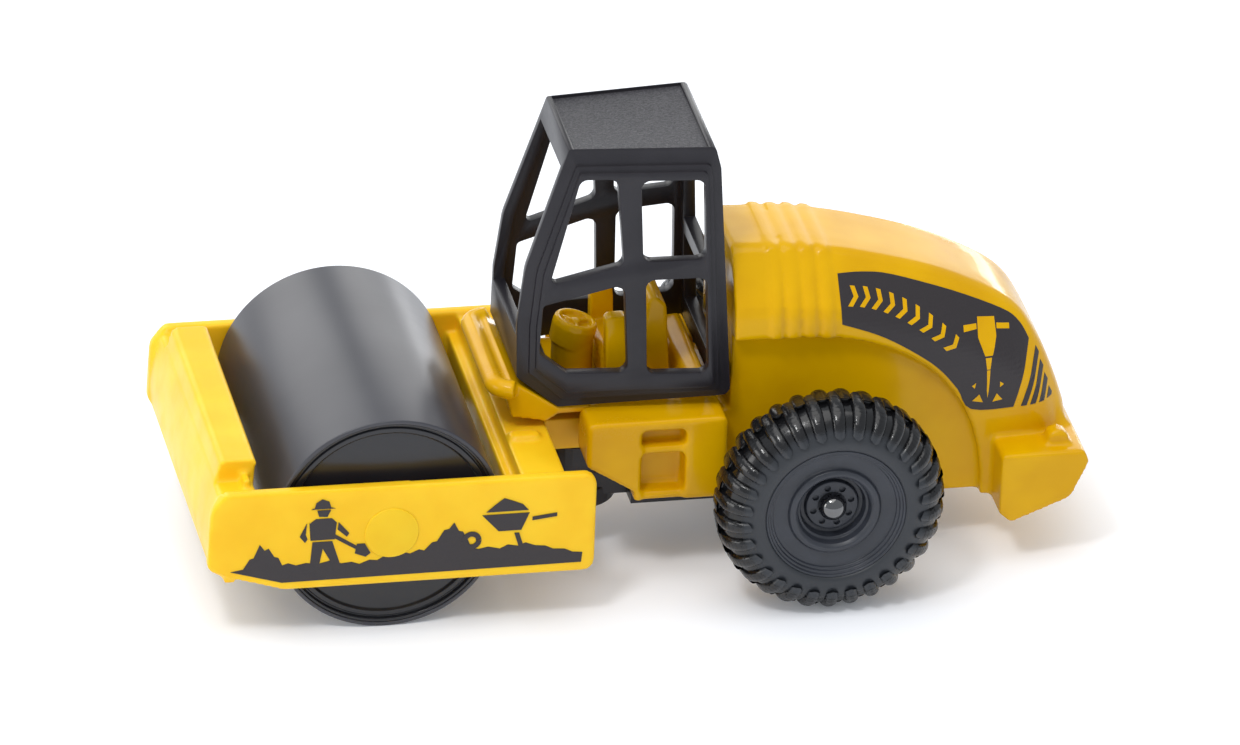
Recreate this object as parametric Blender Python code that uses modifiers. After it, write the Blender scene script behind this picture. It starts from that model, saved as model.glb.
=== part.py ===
# Toy road roller: drum frame with its drum, articulated to a body with a cab and two rear wheels.
# Frame: +Z up, forward is -X, left is -Y. The origin is on the ground below the middle of the toy.
import math

import bmesh
import bpy
from mathutils import Matrix, Vector

MM = 0.001  # every length below is in millimetres, and the helpers turn it into metres

# Driving dimensions
GAP = 0.3  # between pieces that touch
DRUM_X = -27.0
DRUM_RADIUS = 11.6
DRUM_HALF = 16.8
DRUM_WALL = 1.2
DRUM_AXLE_RADIUS = 1.0
PLATE_INNER = 17.3
PLATE_OUTER = 18.6
PIVOT_X = -5.0
PIVOT_RADIUS = 1.45
TONGUE_LOW = 12.1
TONGUE_HIGH = 15.6
TONGUE_HALF = 4.8
BOSS_RADIUS = 4.4
WHEEL_X = 17.65
WHEEL_RADIUS = 11.65
TYRE_INNER = 13.3
TYRE_OUTER = 21.5
RIM_RADIUS = 7.2
REAR_AXLE_RADIUS = 1.25
CAB_FLOOR = 18.6
CAB_ROOF = 46.6
CAB_WALL = 1.2
STEP_TOP = 18.3
STEP_INNER = 6.4
STEP_OUTER = 11.5
WELL_HALF = 7.3
CAVITY_HALF = 5.9
HOOD_FRONT = 9.4
HOOD_FLOOR = 6.0
PLATE_LOW = 5.9
PLATE_HIGH = 7.0
COUNTERWEIGHT_HALF = 13.0
CONSOLE_X = -5.45
RIVET_RADIUS = 1.1
RIVET_PLACES = {"front": 6.0, "rear": 30.0}
RIB_PLACES = (13.6, 15.35, 17.1, 18.85)
SIDES = {"left": -1, "right": 1}

FINISHES = {
    "casting_paint": ((0.78, 0.42, 0.0), 0.2, 0.0),
    "frame_plastic": ((0.88, 0.52, 0.02), 0.35, 0.0),
    "cab_plastic": ((0.035, 0.033, 0.04), 0.5, 0.0),
    "drum_plastic": ((0.05, 0.05, 0.055), 0.35, 0.0),
    "tyre_rubber": ((0.02, 0.021, 0.025), 0.35, 0.0),
    "hub_plastic": ((0.03, 0.032, 0.038), 0.4, 0.0),
    "steel": ((0.6, 0.6, 0.62), 0.3, 1.0),
}


def clear_scene():
    for obj in list(bpy.data.objects):
        bpy.data.objects.remove(obj, do_unlink=True)


def new_collection(name):
    collection = bpy.data.collections.new(name)
    bpy.context.scene.collection.children.link(collection)
    return collection


def new_finish(name):
    colour, roughness, metallic = FINISHES[name]
    material = bpy.data.materials.new(name)
    material.use_nodes = True
    shader = material.node_tree.nodes["Principled BSDF"]
    shader.inputs["Base Color"].default_value = (*colour, 1)
    shader.inputs["Roughness"].default_value = roughness
    shader.inputs["Metallic"].default_value = metallic
    return material


def place(name, mesh, finish=None):
    """Puts a mesh in the scene, as a piece where it has a finish and as a cutter or helper where not."""
    obj = bpy.data.objects.new(name, mesh)
    if finish:
        parts.objects.link(obj)
        mesh.materials.append(finishes[finish])
        mesh.shade_smooth()
        mesh.set_sharp_from_angle(angle=math.radians(35))
    else:
        tools.objects.link(obj)
        obj.hide_render = True
        obj.display_type = "WIRE"
    return obj


def weld(mesh):
    bm = bmesh.new()
    bm.from_mesh(mesh)
    bmesh.ops.remove_doubles(bm, verts=bm.verts, dist=0.001 * MM)
    bmesh.ops.dissolve_limit(bm, angle_limit=math.radians(0.5), verts=bm.verts, edges=bm.edges)
    bmesh.ops.recalc_face_normals(bm, faces=bm.faces)
    bm.to_mesh(mesh)
    bm.free()


def rounded(corners, steps=3):
    """An outline of (x, z) points from (x, z, radius) corners."""
    outline = []
    for index, (x, z, radius) in enumerate(corners):
        here = Vector((x, z))
        to_last = (Vector(corners[index - 1][:2]) - here).normalized()
        to_next = (Vector(corners[(index + 1) % len(corners)][:2]) - here).normalized()
        if radius == 0:
            outline.append((x, z))
            continue
        half = to_last.angle(to_next) / 2
        centre = here + (to_last + to_next).normalized() * radius / math.sin(half)
        start = here + to_last * radius / math.tan(half) - centre
        end = here + to_next * radius / math.tan(half) - centre
        for step in range(steps + 1):
            outline.append(tuple(centre + start.lerp(end, step / steps).normalized() * radius))
    return outline


def prism_mesh(name, outline, low, high):
    """A closed (x, z) outline extruded from Y = low to Y = high."""
    curve = bpy.data.curves.new(name, "CURVE")
    curve.dimensions = "2D"
    curve.fill_mode = "BOTH"
    curve.extrude = (high - low) / 2 * MM
    spline = curve.splines.new("POLY")
    spline.points.add(len(outline) - 1)
    for point, (x, z) in zip(spline.points, outline):
        point.co = (x * MM, z * MM, 0, 1)
    spline.use_cyclic_u = True
    flat = bpy.data.objects.new(name, curve)
    bpy.context.scene.collection.objects.link(flat)
    graph = bpy.context.evaluated_depsgraph_get()
    mesh = bpy.data.meshes.new_from_object(flat.evaluated_get(graph))
    bpy.data.objects.remove(flat, do_unlink=True)
    middle = Matrix.Translation((0, (low + high) / 2 * MM, 0))
    mesh.transform(middle @ Matrix.Rotation(math.pi / 2, 4, "X"))
    weld(mesh)
    return mesh


def prism(name, outline, low, high, finish=None):
    return place(name, prism_mesh(name, outline, low, high), finish)


def arc(radius, start, end, steps):
    """Points of an arc about the origin, from start to end in degrees."""
    angles = [math.radians(start + (end - start) * step / steps) for step in range(steps + 1)]
    return [(radius * math.cos(angle), radius * math.sin(angle)) for angle in angles]


def slab(name, outline, low, high, finish=None):
    """A closed (x, y) outline extruded from Z = low to Z = high."""
    mesh = prism_mesh(name, outline, -high, -low)
    mesh.transform(Matrix.Rotation(-math.pi / 2, 4, "X"))
    return place(name, mesh, finish)


def block(name, low, high, finish=None):
    low, high = Vector(low) * MM, Vector(high) * MM
    size = Matrix.Diagonal((*(high - low), 1))
    bm = bmesh.new()
    bmesh.ops.create_cube(bm, size=1, matrix=Matrix.Translation((low + high) / 2) @ size)
    mesh = bpy.data.meshes.new(name)
    bm.to_mesh(mesh)
    bm.free()
    return place(name, mesh, finish)


def turned(name, profile, centre, axis="Z", steps=32, finish=None, flip=False):
    """A profile of (radius, height) points turned about an axis through centre.

    The points run down the outer side. flip points the profile's top at -Y instead of +Y.
    """
    bm = bmesh.new()
    points = [bm.verts.new((radius * MM, 0, height * MM)) for radius, height in profile]
    for first, second in zip(points, points[1:]):
        bm.edges.new((first, second))
    if profile[0][0] > 0:
        bm.edges.new((points[-1], points[0]))
    mesh = bpy.data.meshes.new(name)
    bm.to_mesh(mesh)
    bm.free()
    obj = place(name, mesh, finish)
    screw = obj.modifiers.new("turn", "SCREW")
    screw.axis = "Z"
    screw.angle = math.tau
    screw.steps = steps
    screw.render_steps = steps
    screw.use_merge_vertices = True
    screw.merge_threshold = 0.001 * MM
    obj.location = Vector(centre) * MM
    if axis == "Y":
        obj.rotation_euler.x = math.pi / 2 if flip else -math.pi / 2
    return obj


def rod(name, radius, low, high, centre, axis="Z", steps=24, finish=None):
    """A plain round bar from low to high along its axis, measured from centre."""
    return turned(name, [(0, high), (radius, high), (radius, low), (0, low)], centre, axis, steps, finish)


def boolean(target, operation, *others):
    for other in others:
        modifier = target.modifiers.new(f"{operation.lower()} {other.name}", "BOOLEAN")
        modifier.operation = operation
        modifier.solver = "EXACT"
        modifier.object = other


def bevel(obj, width, segments=2):
    modifier = obj.modifiers.new("edges", "BEVEL")
    modifier.width = width * MM
    modifier.segments = segments
    modifier.limit_method = "ANGLE"
    modifier.angle_limit = math.radians(30)


def set_wall(obj, wall, inset=0):
    """Moves a prism's two sides onto a leaning wall: wall(x, z) is its half width there."""
    for vertex in obj.data.vertices:
        half = wall(vertex.co.x / MM, vertex.co.z / MM) - inset
        vertex.co.y = math.copysign(half * MM, vertex.co.y)


# Drum ----------------------------------------------------------------------------------------------


def make_drum():
    centre = (DRUM_X, 0, DRUM_RADIUS)
    inner = DRUM_RADIUS - DRUM_WALL
    tube = [(DRUM_RADIUS, DRUM_HALF), (DRUM_RADIUS, -DRUM_HALF), (inner, -DRUM_HALF), (inner, DRUM_HALF)]
    turned("drum_shell", tube, centre, "Y", 48, "drum_plastic")
    hole = DRUM_AXLE_RADIUS + 0.08
    disc = inner - 0.1
    for side, sign in SIDES.items():
        end = [(disc, -0.8), (disc, -2.0), (hole, -2.0), (hole, -0.3), (2.2, -0.3), (2.2, -0.8)]
        place_on_axis = (DRUM_X, sign * DRUM_HALF, DRUM_RADIUS)
        turned(f"drum_end_{side}", end, place_on_axis, "Y", 48, "drum_plastic", flip=sign < 0)
    reach = PLATE_OUTER - 0.6
    rod("drum_axle", DRUM_AXLE_RADIUS, -reach, reach, centre, "Y", 24, "steel")


# Drum frame ----------------------------------------------------------------------------------------


def make_drum_frame():
    side = rounded([
        (-6.3, 16.7, 1.3), (-44.0, 16.9, 0.8), (-45.4, 14.8, 2.0), (-45.5, 8.6, 1.0),
        (-43.0, 7.6, 0), (-37.6, 5.8, 0), (-6.3, 5.8, 1.3),
    ])
    frame = prism("drum_frame", side, PLATE_INNER, PLATE_OUTER, "frame_plastic")
    far = prism("far_plate", side, -PLATE_OUTER, -PLATE_INNER)
    lap = PLATE_INNER + 0.4
    front_wall = prism("front_wall", [
        (-40.4, 16.2), (-44.2, 16.2), (-45.2, 12.5), (-45.2, 7.9), (-43.2, 6.9), (-41.4, 6.9), (-40.8, 12.0),
    ], -lap, lap)
    front_top = prism("front_top", rounded([
        (-40.0, 18.5, 0.4), (-43.6, 18.5, 0.6), (-44.9, 13.0, 0), (-40.6, 13.0, 0),
    ]), -14.4, 14.4)
    rear_beam = prism("rear_beam", [
        (-9.2, 16.2), (-13.7, 16.2), (-13.7, 14.4), (-14.8, 14.4), (-14.4, 8.0), (-10.4, 8.0),
        (-10.4, TONGUE_LOW + 0.4), (-9.2, TONGUE_LOW + 0.4),
    ], -lap, lap)
    tongue_end = [(PIVOT_X + x, y) for x, y in arc(TONGUE_HALF, -90, 90, 12)]
    tongue = slab("tongue", [(-10.0, -TONGUE_HALF), *tongue_end, (-10.0, TONGUE_HALF)], TONGUE_LOW, TONGUE_HIGH)
    bumps = []
    for side_name, sign in SIDES.items():
        low, high = sorted((sign * 8.3, sign * 9.8))
        bump = block(f"bump_{side_name}", (-13.4, low, 15.8), (-10.5, high, 16.7))
        bevel(bump, 0.4)
        bumps.append(bump)
        peg = block(f"peg_{side_name}", (-43.6, min(sign * 17.5, sign * 18.3), 7.0),
                    (-42.8, max(sign * 17.5, sign * 18.3), 8.4))
        bumps.append(peg)
    boolean(frame, "UNION", far, front_wall, front_top, rear_beam, tongue, *bumps)
    for side_name, sign in SIDES.items():
        face = rod(f"axle_face_{side_name}", 2.7, -0.5, 0.15, (DRUM_X, sign * PLATE_OUTER, DRUM_RADIUS), "Y")
        if sign < 0:
            face.rotation_euler.x = math.pi / 2
        boolean(frame, "UNION", face)
    reach = PLATE_OUTER - 0.5
    axle_bore = rod("axle_bore", DRUM_AXLE_RADIUS + 0.08, -reach, reach, (DRUM_X, 0, DRUM_RADIUS), "Y", 24)
    pin_bore = rod("pin_bore", PIVOT_RADIUS + 0.08, 10, 20, (PIVOT_X, 0, 0))
    boolean(frame, "DIFFERENCE", axle_bore, pin_bore)


# Body casting --------------------------------------------------------------------------------------


HOOD_LINE = (  # height of the hood's top along X
    (HOOD_FRONT, 34.0), (14.0, 33.8), (18.0, 33.4), (23.0, 32.4), (30.0, 30.5),
    (36.0, 27.7), (39.4, 25.1), (41.5, 21.6), (43.2, 17.6), (44.4, 14.4),
)


def hood_top(x):
    for (x0, z0), (x1, z1) in zip(HOOD_LINE, HOOD_LINE[1:]):
        if x <= x1:
            return z0 + (z1 - z0) * (x - x0) / (x1 - x0)
    return HOOD_LINE[-1][1]


def hood_section(x, raised):
    """Half of the hood's section at x, from the top's middle to the floor's, as (y, z) points."""
    top = hood_top(x)
    tail = max(0, (x - 36) / 8.4)
    floor = HOOD_FLOOR + 3.5 * tail
    lift = raised * 0.35
    crease = max(top - 5.2, 12.8)
    lower = max(top - 8.6, 12.0)
    narrow = 0.9 * tail
    return [
        (0, top + lift), (4.3, top + lift), (5.5, top - 0.7 + lift), (8.2 - narrow + lift, crease),
        (8.8 - narrow + lift, lower), (8.8 - narrow, lower - 0.4), (8.8 - narrow, floor), (0, floor),
    ]


def hood_stations():
    stations = [(x, 0) for x, _ in HOOD_LINE]
    for x in RIB_PLACES:
        stations += [(x - 0.5, 0), (x - 0.25, 1), (x + 0.25, 1), (x + 0.5, 0)]
    return sorted(stations)


def loft(name, rings):
    """A closed skin through rings of (x, y, z) points, capped at both ends."""
    bm = bmesh.new()
    rows = [[bm.verts.new(Vector(point) * MM) for point in ring] for ring in rings]
    count = len(rows[0])
    for row, after in zip(rows, rows[1:]):
        for index in range(count):
            other = (index + 1) % count
            bm.faces.new((row[index], row[other], after[other], after[index]))
    bm.faces.new(rows[0])
    bm.faces.new(rows[-1])
    bmesh.ops.recalc_face_normals(bm, faces=bm.faces)
    mesh = bpy.data.meshes.new(name)
    bm.to_mesh(mesh)
    bm.free()
    return mesh


def arch_height(x):
    """Height of the rear wheel arch: a flattened ellipse whose middle is just ahead of the axle."""
    middle, half, floor, rise, power = 14.0, 21.4, 5.5, 19.8, 2.4
    part = min(1, max(0, (x - middle) / half))
    return floor + rise * (1 - part**power) ** (1 / power)


def make_body_casting():
    rings = []
    for x, raised in hood_stations():
        half = hood_section(x, raised)
        ring = [(x, y, z) for y, z in half] + [(x, -y, z) for y, z in reversed(half[1:-1])]
        rings.append(ring)
    casting = place("body_casting", loft("body_casting", rings), "casting_paint")

    cavity = prism("cavity", [
        (9.0, 5.0), (9.0, 7.3), (10.6, 7.3), (10.6, 31.2), (22.0, 29.8), (29.0, 27.8), (34.0, 23.0), (34.0, 5.0),
    ], -CAVITY_HALF, CAVITY_HALF)
    boolean(casting, "DIFFERENCE", cavity)

    arch = [(x, arch_height(x)) for x in (14.0, 18.0, 22.0, 26.0, 29.0, 31.5, 33.5, 34.8, 35.3)]
    well = [(8.0, 25.3), *arch, (35.3, 4.0), (8.0, 4.0)]
    for side, sign in SIDES.items():
        low, high = sorted((sign * WELL_HALF, sign * 12))
        boolean(casting, "DIFFERENCE", prism(f"well_{side}", well, low, high))

    bulkhead = block("bulkhead", (2.0, -WELL_HALF, 7.3), (10.4, WELL_HALF, 16.9))
    counterweight = prism("counterweight", rounded([
        (36.4, 12.6, 0.4), (36.4, 6.0, 0), (37.6, 4.9, 0.5), (43.6, 7.4, 0.6), (45.5, 11.4, 0.6), (44.9, 12.6, 0.5),
    ]), -COUNTERWEIGHT_HALF, COUNTERWEIGHT_HALF)
    bevel(counterweight, 0.4)
    post = rod("post", 1.9, 7.3, 30.0, (RIVET_PLACES["rear"], 0, 0), steps=16)
    boolean(casting, "UNION", bulkhead, counterweight, post)
    for side, sign in SIDES.items():
        low, high = sorted((sign * STEP_INNER, sign * STEP_OUTER))
        step = prism(f"step_{side}", rounded([
            (-5.9, STEP_TOP, 0.5), (-5.9, 13.5, 0), (-1.0, 10.4, 0), (-0.6, 9.2, 0), (8.4, 9.2, 0), (8.4, STEP_TOP, 0.5),
        ]), low, high)
        bevel(step, 0.5)
        low, high = sorted((sign * 10.2, sign * 13))
        recess = block(f"recess_{side}", (-0.3, low, 8.0), (4.0, high, 17.2))
        boolean(step, "DIFFERENCE", recess)
        low, high = sorted((sign * 10.0, sign * 11.0))
        tread = block(f"tread_{side}", (-0.5, low, 14.6), (4.2, high, 15.4))
        low_tread = block(f"low_tread_{side}", (-0.5, low, 9.25), (4.2, high, 10.0))
        low, high = sorted((sign * 9.4, sign * 11.2))
        lamp = block(f"lamp_{side}", (41.2, low, 12.2), (43.6, high, 14.0))
        bevel(lamp, 0.5)
        boolean(casting, "UNION", step, tread, low_tread, lamp)
    bore = rod("rear_axle_bore", REAR_AXLE_RADIUS + 0.08, -12, 12, (WHEEL_X, 0, WHEEL_RADIUS), "Y", 24)
    boolean(casting, "DIFFERENCE", bore)
    for side, x in RIVET_PLACES.items():
        boolean(casting, "DIFFERENCE", rod(f"rivet_hole_{side}", RIVET_RADIUS + 0.1, 6.0, 12.0, (x, 0, 0), steps=16))


# Base plate, pivot and rivets ----------------------------------------------------------------------


def make_base():
    plate = block("base_plate", (0.0, -CAVITY_HALF + GAP, PLATE_LOW),
                  (33.6, CAVITY_HALF - GAP, PLATE_HIGH), "cab_plastic")
    neck = block("neck", (PIVOT_X, -3.6, PLATE_LOW + 0.2), (1.6, 3.6, 8.6))
    boss = turned("boss", [
        (0, 11.6), (3.9, 11.6), (3.9, 6.8), (BOSS_RADIUS, 6.8), (BOSS_RADIUS, 5.0), (0, 5.0),
    ], (PIVOT_X, 0, 0))
    boolean(plate, "UNION", neck, boss)
    boolean(plate, "DIFFERENCE", rod("boss_bore", PIVOT_RADIUS + 0.08, 4.0, 13.0, (PIVOT_X, 0, 0)))
    for side, x in RIVET_PLACES.items():
        boolean(plate, "DIFFERENCE", turned(f"plate_hole_{side}", [
            (0, 8.0), (RIVET_RADIUS + 0.1, 8.0), (RIVET_RADIUS + 0.1, PLATE_LOW + 0.65),
            (2.15, PLATE_LOW + 0.65), (2.15, 5.0), (0, 5.0),
        ], (x, 0, 0), steps=16))
        turned(f"rivet_{side}", [
            (0, 11.6), (RIVET_RADIUS, 11.6), (RIVET_RADIUS, PLATE_LOW + 0.5), (1.95, PLATE_LOW + 0.5),
            (1.95, PLATE_LOW + 0.2), (1.6, PLATE_LOW + 0.02), (0, PLATE_LOW + 0.02),
        ], (x, 0, 0), steps=16, finish="steel")
    turned("pivot_pin", [
        (0, 16.5), (2.0, 16.5), (2.6, 16.1), (2.6, TONGUE_HIGH + 0.15), (PIVOT_RADIUS, TONGUE_HIGH + 0.15),
        (PIVOT_RADIUS, 4.85), (2.4, 4.85), (1.9, 4.3), (0, 4.3),
    ], (PIVOT_X, 0, 0), finish="steel")
    hole = PIVOT_RADIUS + 0.1
    turned("pivot_washer", [(3.4, 11.98), (3.4, 11.72), (hole, 11.72), (hole, 11.98)],
           (PIVOT_X, 0, 0), finish="steel")


# Cab -----------------------------------------------------------------------------------------------


def cab_wall(x, z):
    """Half width of the cab's outer side: it widens to the rear and leans in to the roof."""
    return 8.0 + 0.093 * (x + 12.5) - 0.0624 * (z - CAB_FLOOR)


CAB_SIDE = (
    (-8.3, CAB_FLOOR, 0), (-12.5, 21.9, 0.4), (-12.5, 27.6, 0), (-11.8, 33.8, 0), (-7.7, CAB_ROOF, 0.3),
    (6.9, CAB_ROOF, 0.5), (7.5, 44.3, 0), (9.0, 19.6, 0.8),
)
WINDOWS = {
    "upper_front": ((-6.7, 43.8), (-2.9, 43.8), (-2.1, 34.2), (-9.6, 32.1)),
    "upper_rear": ((-0.6, 43.6), (6.0, 43.6), (6.3, 34.6), (-0.2, 34.4)),
    "lower_front": ((-10.3, 30.0), (-2.0, 32.2), (-1.5, 22.5), (-7.6, 22.5), (-10.6, 24.7)),
    "lower_rear": ((0.1, 32.7), (6.3, 32.9), (6.7, 22.3), (0.4, 22.3)),
}


def make_cab_frame():
    frame = prism("cab_frame", rounded(CAB_SIDE, 2), -8, 8, "cab_plastic")
    set_wall(frame, cab_wall)
    room = prism("cab_room", [
        (-8.0, 17.0), (-8.0, 20.1), (-11.3, 22.6), (-11.3, 27.6), (-10.6, 33.5), (-6.9, CAB_ROOF - 1.3),
        (5.8, CAB_ROOF - 1.3), (6.3, 44.2), (7.8, 17.0),
    ], -8, 8)
    set_wall(room, cab_wall, CAB_WALL)
    dish = prism("roof_dish", [
        (-6.7, CAB_ROOF - 0.35), (-6.7, CAB_ROOF + 1), (5.9, CAB_ROOF + 1), (5.9, CAB_ROOF - 0.35),
    ], -8, 8)
    set_wall(dish, lambda x, z: cab_wall(x, CAB_ROOF), 1.0)
    windscreen = prism("windscreen", [(-14, 26.2), (-9.6, 26.2), (-9.0, 33.5), (-6.2, 44.4), (-14, 44.4)], -8, 8)
    set_wall(windscreen, cab_wall, 1.5)
    rear_upper = prism("rear_upper", [(4, 43.2), (4, 31.5), (12, 31.5), (12, 43.2)], -8, 8)
    rear_lower = prism("rear_lower", [(4, 29.8), (4, 22.0), (12, 22.0), (12, 29.8)], -8, 8)
    set_wall(rear_upper, cab_wall, 2.2)
    set_wall(rear_lower, cab_wall, 2.2)
    boolean(frame, "DIFFERENCE", room, dish, windscreen, rear_upper, rear_lower)
    for name, corners in WINDOWS.items():
        outline = rounded([(x, z, 0.6) for x, z in corners], 2)
        boolean(frame, "DIFFERENCE", prism(f"window_{name}", outline, -14, 14))


def nose_bar(name):
    """The rounded U-shaped bar in front of the cab's foot, as a closed mesh."""
    curve = bpy.data.curves.new(name, "CURVE")
    curve.dimensions = "3D"
    curve.bevel_depth = 1.0 * MM
    curve.bevel_resolution = 2
    curve.use_fill_caps = True
    route = rounded([(-12.8, 8.0, 0), (-14.6, 7.3, 1.2), (-14.6, -7.3, 1.2), (-12.8, -8.0, 0)], 4)
    spline = curve.splines.new("POLY")
    spline.points.add(len(route) - 1)
    for point, (x, y) in zip(spline.points, route):
        point.co = (x * MM, y * MM, 21.0 * MM, 1)
    bar = bpy.data.objects.new(name, curve)
    bpy.context.scene.collection.objects.link(bar)
    graph = bpy.context.evaluated_depsgraph_get()
    mesh = bpy.data.meshes.new_from_object(bar.evaluated_get(graph))
    bpy.data.objects.remove(bar, do_unlink=True)
    weld(mesh)
    return place(name, mesh)


def make_interior():
    floor_half = STEP_INNER - GAP
    tray = block("interior_tray", (-10.0, -floor_half, 17.2), (7.4, floor_half, STEP_TOP), "casting_paint")
    wedge = prism("nose_wedge", [
        (-13.9, 21.4), (-13.0, 17.2), (-9.0, 17.2), (-9.0, 18.6), (-13.0, 21.6),
    ], -floor_half, floor_half)
    shelf = prism("rear_shelf", rounded([(4.6, 18.0, 0), (4.9, 20.6, 0.5), (7.0, 21.2, 0.5), (7.0, 18.0, 0)], 2), -6, 6)
    boolean(tray, "UNION", wedge, nose_bar("nose_bar"), shelf)

    seat = prism("seat", rounded([
        (-3.0, STEP_TOP + GAP, 0), (4.0, STEP_TOP + GAP, 0), (3.4, 27.0, 0.5), (1.7, 28.6, 0.5), (0.9, 23.0, 0.5),
        (-3.2, 22.2, 0.6),
    ], 2), -3.4, 3.4, "casting_paint")
    for side, sign in SIDES.items():
        low, high = sorted((sign * 3.2, sign * 4.9))
        arm = prism(f"arm_{side}", rounded([
            (-2.8, STEP_TOP + GAP, 0), (-0.4, STEP_TOP + GAP, 0), (-0.8, 26.8, 0.5), (-3.1, 26.8, 0.5),
        ], 2), low, high)
        boolean(seat, "UNION", arm)

    foot = STEP_TOP + GAP
    console = rod("steering_console", 2.1, foot, 23.0, (CONSOLE_X, 0, 0), steps=32, finish="casting_paint")
    head = turned("console_head", [
        (0, 1.0), (1.6, 1.0), (1.6, 1.5), (2.1, 1.5), (2.3, 0.9), (2.15, -1.2), (0, -1.2),
    ], (CONSOLE_X, 0, 23.0))
    head.rotation_euler.y = math.radians(14)
    boolean(console, "UNION", head)


# Rear wheels ---------------------------------------------------------------------------------------


def make_wheels():
    centre = (WHEEL_X, 0, WHEEL_RADIUS)
    tyre = [
        (9.0, 21.3), (10.4, 20.6), (11.2, 19.4), (WHEEL_RADIUS, 17.4), (11.2, 15.2), (10.2, 13.8),
        (9.0, TYRE_INNER), (RIM_RADIUS + 0.1, TYRE_INNER), (RIM_RADIUS + 0.1, 21.2), (8.2, TYRE_OUTER),
    ]
    rim = [
        (RIM_RADIUS, 21.1), (RIM_RADIUS, TYRE_INNER + 0.2), (5.6, TYRE_INNER + 0.2), (5.6, 15.2),
        (REAR_AXLE_RADIUS + 0.1, 15.2),
        (REAR_AXLE_RADIUS + 0.1, 19.2), (3.4, 19.2), (3.4, 19.8), (4.4, 20.4), (6.0, 20.6), (6.4, 21.1),
    ]
    cap = [(0, 20.5), (0.8, 20.35), (1.3, 19.9), (1.45, 19.4), (0, 19.4)]
    for side, sign in SIDES.items():
        turned(f"tyre_{side}", tyre, centre, "Y", 48, "tyre_rubber", flip=sign < 0)
        turned(f"rim_{side}", rim, centre, "Y", 48, "hub_plastic", flip=sign < 0)
        turned(f"axle_cap_{side}", cap, centre, "Y", 24, "hub_plastic", flip=sign < 0)
    rod("rear_axle", REAR_AXLE_RADIUS, -19.1, 19.1, centre, "Y", 24, "steel")


clear_scene()
parts = new_collection("toy_road_roller")
tools = new_collection("cutters")
finishes = {name: new_finish(name) for name in FINISHES}
make_drum()
make_drum_frame()
make_body_casting()
make_base()
make_cab_frame()
make_interior()
make_wheels()
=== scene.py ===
import math

import bpy
from mathutils import Matrix, Vector


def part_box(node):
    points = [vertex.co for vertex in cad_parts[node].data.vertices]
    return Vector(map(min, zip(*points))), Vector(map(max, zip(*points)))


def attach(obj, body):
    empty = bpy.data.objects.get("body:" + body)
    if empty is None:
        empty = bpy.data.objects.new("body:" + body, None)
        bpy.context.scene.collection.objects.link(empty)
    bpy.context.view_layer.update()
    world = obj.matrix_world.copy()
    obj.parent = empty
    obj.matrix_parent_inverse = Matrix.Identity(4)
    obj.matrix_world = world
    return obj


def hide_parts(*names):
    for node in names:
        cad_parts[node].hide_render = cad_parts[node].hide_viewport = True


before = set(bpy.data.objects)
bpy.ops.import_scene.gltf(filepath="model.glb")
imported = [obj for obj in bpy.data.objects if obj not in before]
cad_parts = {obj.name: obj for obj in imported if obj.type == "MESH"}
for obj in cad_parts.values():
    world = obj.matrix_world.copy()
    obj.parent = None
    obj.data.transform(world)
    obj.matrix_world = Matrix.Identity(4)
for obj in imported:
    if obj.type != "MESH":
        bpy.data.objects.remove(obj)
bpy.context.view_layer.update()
mm = 0.001  # lengths below are in millimetres unless a name says otherwise
sides = {"left": -1, "right": 1}


def millimetres(point):
    return Vector(point) / mm


# drum, wheel and drum frame positions and sizes come from the loaded frame
drumLow, drumHigh = (millimetres(corner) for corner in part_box("drum_shell"))
drumCentre = (drumLow + drumHigh) / 2
drumRadius = (drumHigh.z - drumLow.z) / 2
drumHalf = drumHigh.y
tyreLow, tyreHigh = (millimetres(corner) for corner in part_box("tyre_right"))
wheelCentre = Vector(((tyreLow.x + tyreHigh.x) / 2, 0, (tyreLow.z + tyreHigh.z) / 2))
wheelRadius = (tyreHigh.z - tyreLow.z) / 2
frameHigh = millimetres(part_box("drum_frame")[1])


# selecting, modifying and placing

def deselectAll():
    if bpy.context.mode != "OBJECT":
        bpy.ops.object.mode_set(mode="OBJECT")
    bpy.ops.object.select_all(action="DESELECT")


def pick(*objs):
    deselectAll()
    for obj in objs:
        obj.select_set(True)
    bpy.context.view_layer.objects.active = objs[0]
    return objs[0]


def modify(obj, kind, **settings):
    pick(obj)
    modifier = obj.modifiers.new(kind.title(), kind)
    for key, value in settings.items():
        setattr(modifier, key, value)
    bpy.ops.object.modifier_apply(modifier=modifier.name)
    return obj


def freeze(obj):
    pick(obj)
    bpy.ops.object.transform_apply(location=True, rotation=True, scale=True)
    return obj


def editAll(obj, *steps):
    # runs edit-mode steps on the whole mesh
    pick(obj)
    bpy.ops.object.mode_set(mode="EDIT")
    bpy.ops.mesh.select_all(action="SELECT")
    for step in steps:
        step()
    bpy.ops.object.mode_set(mode="OBJECT")
    return obj


def outwards():
    bpy.ops.mesh.normals_make_consistent(inside=False)


def mergeDoubles():
    bpy.ops.mesh.remove_doubles(threshold=0.002 * mm)


def sideSpan(sign, near, far):
    # low and high Y of a piece that reaches from near to far on one side
    return sorted((sign * near, sign * far))


def joinAll(objs):
    pick(*objs)
    bpy.ops.object.join()
    return objs[0]


def cutAway(target, *cutters):
    for cutter in cutters:
        modify(target, "BOOLEAN", operation="DIFFERENCE", solver="EXACT", object=cutter)
        bpy.data.objects.remove(cutter)
    return target


def softMould(obj, voxel, passes):
    # one skin with the small fillets of a moulded or painted piece
    modify(obj, "REMESH", mode="VOXEL", voxel_size=voxel * mm)
    modify(obj, "SMOOTH", factor=0.5, iterations=passes)
    pick(obj)
    bpy.ops.object.shade_smooth()
    return obj


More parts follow.
